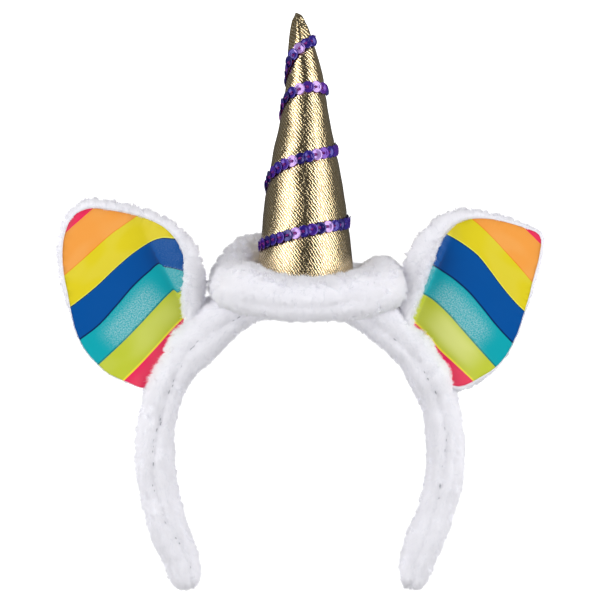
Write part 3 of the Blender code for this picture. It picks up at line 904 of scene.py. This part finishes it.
def ear_depth(ear, x, z):
    """How far forward the satin's middle lies, at a place given from the ear's centre."""
    across, along = crease_place(ear, x, z)
    fade = 1 / (1 + np.exp((along - 16) / 6))
    flap = soft_step(across, 2.0) * FLAP_SLOPE * (0.22 + 0.78 * fade)
    return -1.0 + EAR_SLOPE * soft_step(-across, 5.0) + FLAP_HEIGHT * (1 - np.exp(-flap / FLAP_HEIGHT))


def ear_point(ear, direction, distance, height, lift=0.0):
    """Worn points over the ear's cupped surface, moved off it along its normal and lifted forward."""
    x, z, step = distance * np.cos(direction), distance * np.sin(direction), 0.2
    depth = ear_depth(ear, x, z)
    slope_x = (ear_depth(ear, x + step, z) - ear_depth(ear, x - step, z)) / (2 * step)
    slope_z = (ear_depth(ear, x, z + step) - ear_depth(ear, x, z - step)) / (2 * step)
    normal = unit(np.stack((-slope_x, -np.ones_like(x), -slope_z), axis=-1))
    place = np.stack((ear["centre"][0] + x, -depth - lift, ear["centre"][1] + z), axis=-1)
    return place + normal * np.asarray(height)[..., None]


def ear_edge(ear, degrees):
    """The satin's reach and the border's width in directions round an ear."""
    at = np.arange(0, 360, EAR_STEP)
    return curve_through(np.column_stack((at, ear["reach"], ear["border"])), period=360)(degrees).T


def ear_outline(ear, sides):
    """Directions round an ear, with the satin's reach and the border's width in each."""
    degrees = np.arange(sides) * 360 / sides
    return np.radians(degrees), *ear_edge(ear, degrees)


def polar_faces(rings, sides):
    """Faces of a disc: one point in the middle, and then rings of points."""
    faces = [(0, 1 + k, 1 + (k + 1) % sides) for k in range(sides)]
    for r in range(rings - 1):
        for k in range(sides):
            n = (k + 1) % sides
            a, b = 1 + r * sides, 1 + (r + 1) * sides
            faces.append((a + k, b + k, b + n, a + n))
    return faces


def print_satin(mesh, ear, down, across, past, along):
    """Stores the satin's stripes and its painted highlight, painted glow and painted crease shade, from places
    down and across the ear, past its crease and along it."""
    table = np.array(ear["stripes"])
    borders = curve_through(table)(np.clip(across, table[0, 0], table[-1, 0]))
    # the outer two stripes run on for 14 mm
    lines = np.hstack((borders[:, :1] - 14, borders, borders[:, -1:] + 14))
    slip = ear["slip"] * np.clip(past / 0.8, 0, 1) * np.clip((down + 6) / 6, 0, 1)
    stripe = np.array([np.interp(d, row, np.arange(STRIPES + 1)) for d, row in zip(down - slip, lines)])
    give(mesh, "stripe", stripe)
    blue, turquoise = (stripe >= 3) & (stripe < 4), (stripe >= 4) & (stripe < 5)
    # a painted highlight pales the turquoise over most of its length and on the flap, and the blue a little there
    inside = (stripe > 4.08) & (stripe < 4.97)
    painted_patch = np.where(inside, 0.2 + 0.8 * np.clip((stripe - 4.15) / 0.3, 0, 1), 0.0)
    painted_patch *= np.exp(-((across - ear["painted_sheen_at"]) / 15.5) ** 6)
    flap = np.clip(past - 0.5, 0, 1) * (0.1 * blue + 0.7 * turquoise)
    give(mesh, "painted_sheen", 0.4 * np.maximum(painted_patch, flap))
    # a painted glow along soft folds of 9 mm, and a painted highlight on the lime stripe
    folds = lumps(np.column_stack((down * 1.3, across * 0.7, down * 0)), 9.0, 21)
    glow = np.where((stripe > 2.98) & (stripe < 5), 0, 0.04 * np.clip(0.5 + 2 * folds, 0, 1))
    glow += ear["painted_lime_sheen"] * np.exp(-((stripe - 5.45) / 0.4) ** 4 - ((across - ear["lime_at"]) / 14) ** 4)
    give(mesh, "glow", glow)
    # painted shade before the crease: deepest on the blue, and it ends where the crease does
    painted_shade = np.where((stripe > 2.98) & (stripe < 4.02), 0.5, 0.16)
    painted_shade *= 1 / (1 + np.exp((along - 9) / 2.5)) * np.exp(np.minimum(past, 0) / 4.5)
    give(mesh, "painted_crease_shade", np.where(past < 0, painted_shade, 0.0))


def make_satin(side, ear):
    """The satin lining: one striped sheet, drawn taut over the crease and puckered at its edge."""
    sides = 180
    direction, reach, _ = ear_outline(ear, sides)
    part = np.append(np.linspace(0, 0.965, 41)[1:], (0.98, 0.99, 0.996, 1.0))
    rings = len(part)
    way = np.tile(direction, rings)
    distance = (part[:, None] * (reach + 0.25)[None]).ravel()
    way, distance = np.append(0.0, way), np.append(0.0, distance)
    edge = np.append(0.0, np.repeat(part, sides))
    pucker = 0.22 * np.exp(-((1 - edge) / 0.1) ** 2) * np.sin(way * 37 + 2 * np.sin(way * 5))
    x, z = distance * np.cos(way), distance * np.sin(way)
    soft = lumps(np.column_stack((x, z, np.zeros(len(x)))), 17.0, 11 if side == "left" else 12) * 0.55
    drape = soft * np.clip((1 - edge) * 4, 0, 1) + pucker - 0.5 * np.clip((edge - 0.975) / 0.025, 0, 1) ** 2
    points = ear_point(ear, way, distance, drape)
    item = new_piece(f"{side}_ear_satin", lie(points), polar_faces(rings, sides), SATIN)
    angle = radians(ear["stripes_way"])
    down = x * cos(angle) + z * sin(angle)
    across = -x * sin(angle) + z * cos(angle)
    print_satin(item.data, ear, down, across, *crease_place(ear, x, z))
    give_cut(item.data, np.column_stack((across, down))[corners_of(item.data)])
    apply(item, "SOLIDIFY", thickness=0.0004, offset=0.0)
    return item


def make_ear_plush(side, ear):
    """The ear's plush under its pile: a cupped shell whose border rolls forward round the satin."""
    sides = 110
    direction, reach, width = ear_outline(ear, sides)
    recess = -(SATIN_THICK / 2 + GAP)
    rear = recess - PLUSH_THICK + 1.5
    lift = np.minimum(0.45 * width, 3.5) * 0.6
    trim = np.clip(width * 0.45, 0.4, 1.7)
    body = np.maximum(width - trim, 0.3)
    rings = [ear_point(ear, direction, reach * p, np.full(sides, recess)) for p in (0.35, 0.6, 0.8, 0.93, 1.0)]
    # the border's roll: part of its width, share of its lift, and height
    roll = ((0.05, 0.3, 0.1), (0.22, 0.8, 0.3), (0.45, 1.0, 0.3), (0.7, 0.8, 0.1), (0.9, 0.35, -0.6))
    for p, share, up in roll:
        rings.append(ear_point(ear, direction, reach + p * body, np.full(sides, up), lift * share))
    rings.append(ear_point(ear, direction, reach + body, np.full(sides, -1.3)))
    rings.append(ear_point(ear, direction, reach + 0.8 * body, np.full(sides, rear + 0.6)))
    for p in (0.99, 0.93, 0.84, 0.72, 0.58, 0.42, 0.24):
        rings.append(ear_point(ear, direction, reach * p, np.full(sides, rear)))
    middle = np.zeros(1)
    first = ear_point(ear, middle, middle, np.full(1, recess))
    last = ear_point(ear, middle, middle, np.full(1, rear))
    points = np.concatenate((first, *rings, last))
    faces = polar_faces(len(rings), sides)
    end, start = len(points) - 1, len(points) - 1 - sides
    faces += [(end, start + (k + 1) % sides, start + k) for k in range(sides)]
    item = new_piece(f"{side}_ear_plush", lie(points), faces, GROUND)
    edit(item, bpy.ops.mesh.normals_make_consistent, inside=False)
    return item


def ear_pile(side, ear, base):
    """The ear's pile: all over its back and its border, and none under the satin."""
    centre = np.array((ear["centre"][0], 0.0, ear["centre"][1]))

    def around(points):
        """How far places are past the satin's edge, the border's width there, and their height."""
        away = points - centre
        reach, width = ear_edge(ear, np.degrees(np.arctan2(away[:, 2], away[:, 0])) % 360)
        return np.hypot(away[:, 0], away[:, 2]) - reach, width, away[:, 2]

    def trimmed(points):
        past, width, height = around(points)
        # the pile is clipped beside the satin, except where the ear meets the band
        crisp = np.where(height > 2, np.clip(past / 1.4, 0.2, 1), 1)
        least = np.where(height > -6, 0.4, 0.15)
        return np.where(past > -3, np.clip(width / 3.5, least, 1) * crisp, 1)

    def keep(points, out):
        return (around(points)[0] > 0.2) | (out[:, 1] > 0.2)

    def flow(points):
        away = points - centre
        away[:, 1] = 0
        return unit(away)

    return make_pile(f"{side}_ear_pile", base, EAR_BLADES, 31 if side == "left" else 32, flow, length=2.3,
                     keep=keep, short=trimmed, wild=0.45)


# The camera, the floor and the light

# The soft boxes: their place beside the object and over it, what they are aimed at, their length along it and
# their width, in metres, and their power in watts.
BOX_PLACE = (0.9, 0.25, 0.7)
BOX_AIM = (0.0, 0.25, 0.04)
BOX_SIZE = (2.4, 0.8)
BOX_POWER = 15.0

# Light from the room and the floor, and how much less of each a mirrored ray meets.
ROOM_LEVEL, ROOM_DIMMED = 0.28, 0.2
FLOOR_LEVEL, FLOOR_DIMMED = 0.82, 0.68


def make_camera():
    """A camera straight above."""
    camera = bpy.data.cameras.new("camera")
    camera.sensor_width = 36.0
    camera.lens = 178.3
    eye = put_in("camera", camera)
    eye.location = (0.0001, 0.0017, 1.4)
    bpy.context.scene.camera = eye


def make_floor():
    """A white floor."""
    material, tree, node = new_material("white_paper_sweep", Roughness=0.9, Specular_IOR_Level=0.1,
                                        Base_Color=linear("#F4F4F4"), Emission_Color=(1.0, 1.0, 1.0, 1.0),
                                        Emission_Strength=0.75)
    # it is lit white for the eye, and throws back only a little light on what lies on it
    ray = put(tree, "ShaderNodeLightPath")
    shade = put(tree, "ShaderNodeMath", {0: ray.outputs["Is Glossy Ray"], 1: -FLOOR_DIMMED, 2: FLOOR_LEVEL},
                operation="MULTIPLY_ADD")
    grey = put(tree, "ShaderNodeBsdfDiffuse", {"Color": shade.outputs[0]})
    mix = put(tree, "ShaderNodeMixShader",
              {0: ray.outputs["Is Camera Ray"], 1: grey.outputs[0], 2: node.outputs[0]})
    tree.links.new(mix.outputs[0], tree.nodes["Material Output"].inputs["Surface"])
    bpy.ops.object.select_all(action="DESELECT")
    bpy.ops.mesh.primitive_plane_add(size=6.0, location=(0, 0, 0))
    floor = bpy.context.object
    floor.name = "floor"
    floor.data.materials.append(material)


def make_lights():
    """A soft box on each side, and a little light from all round."""
    for name, side in (("left_soft_box", -1), ("right_soft_box", 1)):
        lamp = bpy.data.lights.new(name, "AREA")
        lamp.shape = "RECTANGLE"
        lamp.size, lamp.size_y = BOX_SIZE
        lamp.energy = BOX_POWER
        item = put_in(name, lamp)
        item.location = (side * BOX_PLACE[0], *BOX_PLACE[1:])
        item.rotation_euler = (Vector(BOX_AIM) - item.location).to_track_quat("-Z", "Y").to_euler()

    world = bpy.data.worlds.new("studio")
    world.use_nodes = True
    sky = world.node_tree
    sky.nodes["Background"].inputs["Color"].default_value = (0.97, 0.98, 1.0, 1.0)
    # the room over the table is dim where metal mirrors it
    ray = put(sky, "ShaderNodeLightPath")
    level = put(sky, "ShaderNodeMath", {0: ray.outputs["Is Glossy Ray"], 1: -ROOM_DIMMED, 2: ROOM_LEVEL},
                operation="MULTIPLY_ADD")
    sky.links.new(level.outputs[0], sky.nodes["Background"].inputs["Strength"])
    bpy.context.scene.world = world
    bpy.context.scene.view_settings.view_transform = "Standard"


# The whole

def make_band():
    """The band's padding, drawn in along its front seam."""
    band = stuffed("band_pad", "band", shrink=1.0, pressure=4.0)
    points = worn(points_of(band.data))
    gap, _ = seam_gap(points)
    # the stuffing's lumps, 13 mm and 6 mm wide, and the groove of the seam
    swell(band, lumps(points, 13.0, 1) * 0.8 + lumps(points, 6.0, 2) * 0.4 - 1.6 * np.exp(-(gap / 2.0) ** 2)
          + humps(band, BAND_HUMPS))
    press_on_floor(band)
    return band


def make_ring():
    """The ring's padding."""
    ring = stuffed("ring_pad", "ring", shrink=1.5, pressure=8.0)
    points = worn(points_of(ring.data))
    swell(ring, lumps(points, 17.0, 4) * 0.9 + humps(ring, RING_HUMPS) - ring_crease(ring))
    press_on_floor(ring)
    return ring


def by_seam(points):
    """The part of its length that the band's pile has: short in the seam and where the cloth is smooth."""
    near, _ = seam_gap(points)
    along, across = on_band(points)
    smooth = (along > SMOOTH[0]) & (along < SMOOTH[1]) & (across > 0.6)
    return np.where(smooth, 0.6, 1 - 0.5 * np.exp(-(near / 1.4) ** 2))


def down_the_ring(points):
    """The ring's nap runs down towards the band."""
    return np.tile((0.0, 0.2, -1.0), (len(points), 1))


def build():
    make_camera()
    make_floor()
    make_lights()

    band, ring = make_band(), make_ring()
    pieces = {
        "band": [band, make_pile("band_pile", band, BAND_BLADES, 21, down_the_band, short=by_seam),
                 make_seam_stitches(band)],
        "ring": [ring, make_pile("ring_pile", ring, RING_BLADES, 22, down_the_ring)],
        "horn": [make_horn()],
        "sequin_trim": [make_sequins(), make_trim_thread()],
    }
    for side, ear in EARS.items():
        plush = make_ear_plush(side, ear)
        pieces[f"{side}_ear_back"] = [plush, ear_pile(side, ear, plush)]
        pieces[f"{side}_ear_lining"] = [make_satin(side, ear)]

    for node, made in pieces.items():
        for piece in made:
            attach(piece, "root")
        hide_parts(node)


build()
